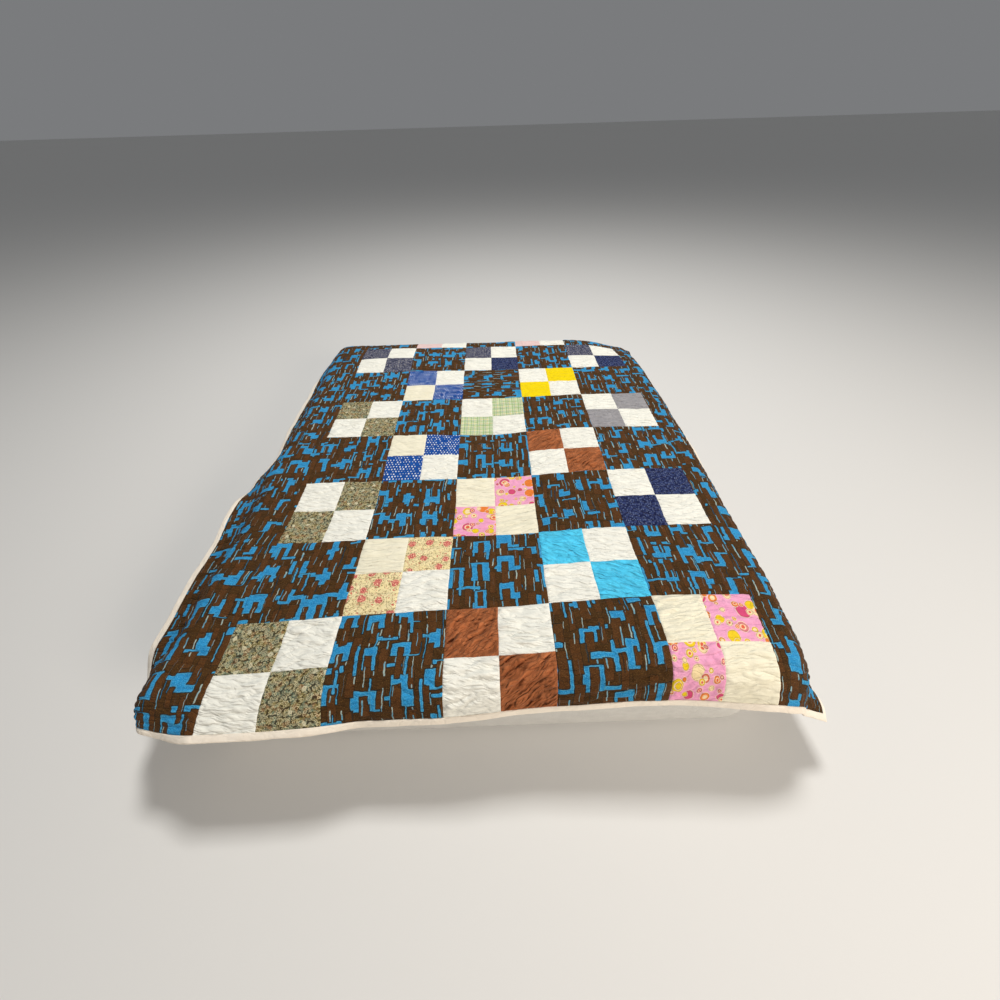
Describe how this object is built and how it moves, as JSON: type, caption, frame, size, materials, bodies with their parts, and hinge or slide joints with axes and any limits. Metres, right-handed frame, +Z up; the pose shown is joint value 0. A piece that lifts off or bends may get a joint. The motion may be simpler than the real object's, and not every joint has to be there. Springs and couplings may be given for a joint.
{
  "type": "patchwork quilt on a mattress",
  "caption": "Pieced cotton quilt of square patches and printed blocks with a bound edge, lying on a plain mattress and draping past its edges.",
  "frame": {"origin": "on the floor, under the middle of the whole object's box", "axes": "+X across the bed to the right as seen from its foot, +Y from the foot to the head, +Z up"},
  "size_m": [1.7492, 1.9872, 0.3438],
  "materials": {
    "patchwork_cotton": "matt printed cotton, machine pieced and quilted",
    "binding_cotton": "matt plain-weave cotton",
    "ticking": "matt woven cotton ticking"
  },
  "bodies": {
    "root": {"quilt": "patchwork_cotton", "binding": "binding_cotton", "mattress": "ticking"}
  },
  "joints": []
}
